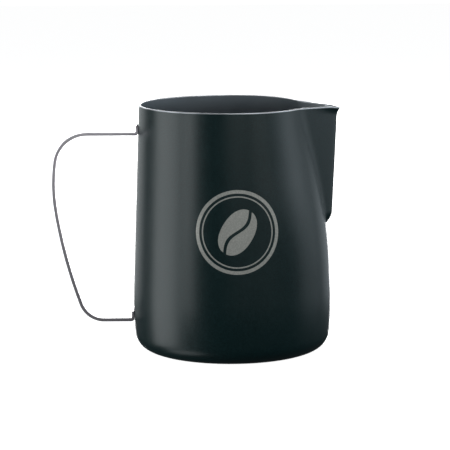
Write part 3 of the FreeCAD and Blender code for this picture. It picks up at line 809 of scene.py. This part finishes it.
class PITCHER_OT_strap(bpy.types.Operator):
    """Bends the strip handle run by run, from its upper tab to its lower tab"""

    bl_idname = "pitcher.strap"
    bl_label = "Build Strip Handle"

    HIGHLIGHT_BAND = 0.25 * MM           # width of the strip's edge that carries the painted highlight
    EDGE_WEAR = 0.75                # strength of that painted highlight, from 0 to 1
    SHARP = 40.0                    # degrees between faces from which an edge stays sharp

    def execute(self, context):
        scene = context.scene
        strap, cup = scene.pitcher_strap, scene.pitcher_cup
        form = CupForm(cup, scene.pitcher_spout)
        half, gauge, bend = strap.width / 2.0, strap.gauge, strap.tab_bend
        upper_wall = cup.rim_radius + (cup.height - strap.upper_run) * math.tan(cup.taper)
        lower_wall = form.belly_r + cup.belly_arc
        upper_x = strap.tab_press - math.sqrt(upper_wall ** 2 - half ** 2) - gauge / 2.0
        lower_x = strap.tab_press - math.sqrt(lower_wall ** 2 - half ** 2) - gauge / 2.0

        # Middles of the bends: top, bow, the slower bend under the bow, and foot.
        top = Vector((0.0, 0.0, strap.upper_run - strap.top_bend))
        bow = Vector((strap.bow_arc - strap.reach, 0.0, strap.bow_height))
        top.x = bow.x - math.sqrt((strap.bow_arc - strap.top_bend) ** 2 - (top.z - bow.z) ** 2)
        foot = Vector((lower_x - strap.lower_run_length, 0.0, strap.lower_run + strap.bottom_bend))
        ease_angle = math.asin(strap.bow_change / strap.bow_arc)
        toward = Vector((math.cos(ease_angle), 0.0, math.sin(ease_angle)))
        change = bow - toward * strap.bow_arc
        offset = change - foot
        slow = (strap.bottom_bend ** 2 - offset.length_squared) / (
            2.0 * (offset.dot(toward) + strap.bottom_bend))
        slow_centre = change + toward * slow
        foot_turn = math.atan2(slow_centre.z - foot.z, slow_centre.x - foot.x)

        # The strip's section at the top of the upper tab, with rounded long edges.
        tab_end = strap.upper_run + strap.upper_tab
        start_clean()
        bpy.ops.mesh.primitive_plane_add(size=1.0, location=(upper_x, 0, tab_end))
        piece = context.active_object
        edit_all(piece)
        bpy.ops.transform.resize(value=(gauge, strap.width, 1.0))
        bpy.ops.mesh.delete(type="ONLY_FACE")
        bpy.ops.mesh.select_all(action="SELECT")
        bpy.ops.mesh.bevel(offset=strap.edge, segments=4, affect="VERTICES")
        choose(piece, "edges", lambda e: abs(
            piece.data.vertices[e.vertices[0]].co.y - piece.data.vertices[e.vertices[1]].co.y) > half)
        bpy.ops.mesh.subdivide(number_cuts=9)
        bpy.ops.mesh.select_all(action="SELECT")

        def turn(centre, angle, steps):
            """Carries the strip's section round a bend."""
            bpy.ops.mesh.spin(steps=steps, angle=angle, center=centre, axis=(0, -1, 0))

        # Down the tab, out along the upper run, round the bow and back along the lower run.
        for _ in range(3):
            pull(z=-(strap.upper_tab - bend) / 3.0)
        turn((upper_x - bend, 0, strap.upper_run + bend), math.pi / 2.0, 8)
        run = upper_x - bend - top.x
        for _ in range(4):
            pull(x=-run / 4.0)
        bow_rise = math.atan2(top.z - bow.z, bow.x - top.x)
        turn(top, bow_rise - math.pi / 2.0, 20)
        turn(bow, -bow_rise - ease_angle, 18)
        turn(slow_centre, ease_angle - foot_turn, 20)
        turn(foot, foot_turn - math.pi / 2.0, 16)
        run = lower_x - bend - foot.x
        for _ in range(3):
            pull(x=run / 3.0)
        turn((lower_x - bend, 0, strap.lower_run + bend), -math.pi / 2.0, 8)
        for _ in range(3):
            pull(z=(strap.lower_tab - bend) / 3.0)
        # Close both ends.
        bpy.ops.mesh.edge_face_add()
        choose(piece, "vertices", lambda v: abs(v.co.z - tab_end) < SAME)
        bpy.ops.mesh.edge_face_add()
        bpy.ops.mesh.select_all(action="SELECT")
        bpy.ops.mesh.remove_doubles(threshold=SAME)
        bpy.ops.mesh.normals_make_consistent(inside=False)
        bpy.ops.object.mode_set(mode="OBJECT")
        settle(piece)
        # Hollow the tabs so that they sit on the round wall.
        for vertex in piece.data.vertices:
            place = vertex.co
            if place.z > form.corner_top:
                wall = form.radius(place.z) + SEAT_GAP
                if place.x ** 2 + place.y ** 2 < wall ** 2:
                    place.x = -math.sqrt(wall ** 2 - place.y ** 2)
        keep_inside(piece, "handle_strap")
        # Painted highlight along the strip's long edges.
        paint(piece, "strip_edge", lambda v: self.EDGE_WEAR * (abs(v.co.y) > half - self.HIGHLIGHT_BAND))
        smooth(piece, self.SHARP)
        finish = strap_material(scene.pitcher_finish, strap, shared_groups(scene))
        finish_piece(piece, "strip_handle", finish, "strap_coat", "handle_strap")
        return {"FINISHED"}


class PITCHER_OT_welds(bpy.types.Operator):
    """Models one spot weld and copies it to the four places on the tabs"""

    bl_idname = "pitcher.welds"
    bl_label = "Build Spot Welds"

    RING, SLOPE, CENTRE = 0.16, 0.2, 0.3    # widths from the outside in, of the weld's radius
    HOLLOW, CROWN = 0.9, 0.35               # depth in the ring and rise again, of its height
    SCORCH_START, SCORCH_WIDTH = 0.55, 0.4  # where the darkened ring starts, of the radius

    def execute(self, context):
        scene = context.scene
        weld = scene.pitcher_welds
        radius = weld.radius
        start_clean()
        bpy.ops.mesh.primitive_circle_add(
            vertices=40, radius=radius, fill_type="NGON", location=(0, 0, 0),
            rotation=(0, -math.pi / 2.0, 0))
        first = context.active_object
        settle(first)
        edit_all(first)
        pull(x=-weld.proud)
        bpy.ops.mesh.inset(thickness=radius * self.RING)
        bpy.ops.mesh.inset(thickness=radius * self.SLOPE)
        shift(x=weld.proud * self.HOLLOW)
        bpy.ops.mesh.inset(thickness=radius * self.CENTRE)
        shift(x=-weld.proud * self.CROWN)
        bpy.ops.mesh.select_all(action="SELECT")
        bpy.ops.mesh.normals_make_consistent(inside=False)
        bpy.ops.object.mode_set(mode="OBJECT")
        apply_modifier(first, "BEVEL", width=0.05 * MM, segments=2, limit_method="ANGLE",
                       angle_limit=math.radians(25.0))
        paint(first, "weld_ring", lambda v: ease(
            (math.hypot(v.co.y, v.co.z) / radius - self.SCORCH_START) / self.SCORCH_WIDTH))
        smooth(first, 50.0)
        material = weld_material(scene.pitcher_finish, shared_groups(scene))
        copies = [first]
        for _ in range(3):
            copies.append(first.copy())
            copies[-1].data = first.data.copy()
            context.collection.objects.link(copies[-1])
        names = [name for name in sorted(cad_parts) if "_weld_" in name]
        for piece, name in zip(copies, names):
            low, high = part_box(name)
            centre = (low + high) / 2.0
            piece.location = (low.x, centre.y, centre.z)
            settle(piece)
            finish_piece(piece, name.replace("weld", "spot"), material, "weld_steel", name)
        return {"FINISHED"}


class PITCHER_OT_studio(bpy.types.Operator):
    """Sets the pale floor, the soft lights and the camera"""

    bl_idname = "pitcher.studio"
    bl_label = "Set Studio"

    def execute(self, context):
        scene = context.scene
        studio = scene.pitcher_studio
        start_clean()
        bpy.ops.mesh.primitive_plane_add(size=6.0, location=(0, 0, -0.05 * MM))
        floor = context.active_object
        floor.name = "studio_floor"
        floor.data.materials.append(self.floor_material())
        settle(floor)
        floor.visible_diffuse = floor.visible_glossy = floor.visible_shadow = False
        neutral, cool, cold = (1.0, 1.0, 1.0), (0.93, 0.985, 1.0), (0.84, 0.93, 1.0)
        # Each light: name, degrees round from the camera's side and up, metres away, size,
        # brightness and colour.
        for name, around, up, away, size, brightness, colour in (
                ("handle_side_light", -84.0, 0.0, 0.80, (0.54, 0.74), studio.side * 0.96, cool),
                ("handle_fill_light", -52.0, 7.0, 0.80, (0.24, 0.54), studio.side_fill * 0.96, cool),
                ("handle_bounce_light", -66.0, -42.0, 0.80, (0.50, 0.26), studio.side * 0.5, cool),
                ("back_sheet_light", 180.0, 2.0, 1.1, (0.60, 0.85), studio.back, neutral),
                ("back_left_light", -146.0, 6.0, 1.2, (0.72, 0.80), studio.wings, cool),
                ("back_right_light", 146.0, 6.0, 1.2, (0.72, 0.80), studio.wings * 0.8, cold),
                ("front_light", 8.0, 10.0, 0.9, (0.44, 0.19), studio.fill * 0.75, cool),
                ("spout_front_light", 44.0, 13.0, 0.9, (0.56, 0.30), studio.fill * 0.8, cool),
                ("spout_side_light", 88.0, 14.0, 0.9, (0.70, 0.34), studio.fill * 0.85, cold),
                ("spout_low_light", 104.0, 5.0, 0.9, (0.62, 0.56), studio.fill * 0.3, cold),
                ("overhead_light", 34.0, 52.0, 0.8, (0.44, 0.40), studio.top * 1.2, cool)):
            self.light(name, math.radians(around), math.radians(up), away, size, brightness, colour)
        scene.world = self.pale_world()
        scene.camera = self.camera(studio)
        scene.view_settings.view_transform = "Standard"
        return {"FINISHED"}

    def light(self, name, around, up, away, size, brightness, colour):
        """Soft light by its direction from the pitcher: 0 is the camera's side, + the spout's."""
        aim = Vector((0.0, 0.0, CUP_HIGH.z / 2.0))
        toward = Vector((math.sin(around) * math.cos(up), -math.cos(around) * math.cos(up),
                         math.sin(up)))
        bpy.ops.object.light_add(type="AREA", location=aim + toward * away)
        lamp = bpy.context.active_object
        lamp.name = name
        lamp.data.shape = "RECTANGLE"
        lamp.data.size, lamp.data.size_y = size
        lamp.data.color = colour
        lamp.data.energy = brightness * size[0] * size[1] * math.pi
        lamp.rotation_euler = (-toward).to_track_quat("-Z", "Y").to_euler()

    def pale_world(self):
        """Surroundings that look white behind the pitcher and shed little light."""
        world = bpy.data.worlds.new("Pale Studio")
        world.use_nodes = True
        tree = world.node_tree
        back = tree.nodes["Background"]
        back.inputs["Color"].default_value = (0.86, 0.93, 1.0, 1.0)
        back.inputs["Strength"].default_value = 0.04
        seen = node(tree, "ShaderNodeBackground")
        seen.inputs["Color"].default_value = (1, 1, 1, 1)
        seen.inputs["Strength"].default_value = 1.05
        pick = node(tree, "ShaderNodeMixShader")
        eye = node(tree, "ShaderNodeLightPath")
        link(tree, eye.outputs["Is Camera Ray"], pick.inputs[0])
        link(tree, back.outputs[0], pick.inputs[1])
        link(tree, seen.outputs[0], pick.inputs[2])
        link(tree, pick.outputs[0], tree.nodes["World Output"].inputs["Surface"])
        return world

    def camera(self, studio):
        """Camera in front of the pitcher, a little above it."""
        bpy.ops.object.camera_add()
        camera = bpy.context.active_object
        camera.name = "studio_camera"
        camera.data.sensor_width = 36.0
        camera.data.lens = studio.lens
        camera.data.dof.use_dof = False
        tilt, turn, roll = studio.tilt, studio.turn, studio.roll
        ahead = Vector((-math.sin(turn) * math.cos(tilt), math.cos(turn) * math.cos(tilt),
                        -math.sin(tilt)))
        right = Vector((math.cos(turn), math.sin(turn), 0.0))
        up = right.cross(ahead)
        side = right * math.cos(roll) + up * math.sin(roll)
        over = up * math.cos(roll) - right * math.sin(roll)
        camera.matrix_world = Matrix.Translation((0.0, -studio.distance, studio.height)) @ Matrix(
            (side, over, -ahead)).transposed().to_4x4()
        return camera

    def floor_material(self):
        """Pale matt floor that stays white under the soft lights."""
        material, shader = plain_material("Pale Floor")
        shader.inputs["Base Color"].default_value = (0.9, 0.9, 0.9, 1.0)
        shader.inputs["Roughness"].default_value = 0.9
        shader.inputs["Emission Color"].default_value = (1.0, 1.0, 1.0, 1.0)
        shader.inputs["Emission Strength"].default_value = 0.95
        return material


class PITCHER_PT_sidebar(bpy.types.Panel):
    """Pitcher tools in the sidebar"""

    bl_idname = "PITCHER_PT_sidebar"
    bl_label = "Milk Pitcher"
    bl_space_type = "VIEW_3D"
    bl_region_type = "UI"
    bl_category = "Pitcher"

    def draw(self, context):
        layout, scene = self.layout, context.scene
        for title, group, operator in (
                ("Cup", scene.pitcher_cup, "pitcher.cup"),
                ("Spout", scene.pitcher_spout, None),
                ("Strip Handle", scene.pitcher_strap, "pitcher.strap"),
                ("Welds", scene.pitcher_welds, "pitcher.welds"),
                ("Finish", scene.pitcher_finish, None),
                ("Studio", scene.pitcher_studio, "pitcher.studio")):
            box = layout.box()
            box.label(text=title)
            for name in group.__annotations__:
                box.prop(group, name)
            if operator:
                box.operator(operator)


CLASSES = (
    CupSizes, SpoutSizes, StrapSizes, WeldSizes, CoatFinish, StudioSizes,
    PITCHER_OT_cup, PITCHER_OT_strap, PITCHER_OT_welds, PITCHER_OT_studio, PITCHER_PT_sidebar,
)
SETTINGS = {
    "pitcher_cup": CupSizes,
    "pitcher_spout": SpoutSizes,
    "pitcher_strap": StrapSizes,
    "pitcher_welds": WeldSizes,
    "pitcher_finish": CoatFinish,
    "pitcher_studio": StudioSizes,
}


def register():
    for cls in CLASSES:
        bpy.utils.register_class(cls)
    for name, cls in SETTINGS.items():
        setattr(bpy.types.Scene, name, bpy.props.PointerProperty(type=cls))


def unregister():
    for name in SETTINGS:
        delattr(bpy.types.Scene, name)
    for cls in reversed(CLASSES):
        bpy.utils.unregister_class(cls)


def main():
    register()
    bpy.ops.pitcher.cup()
    bpy.ops.pitcher.strap()
    bpy.ops.pitcher.welds()
    bpy.ops.pitcher.studio()


if __name__ == "__main__":
    main()
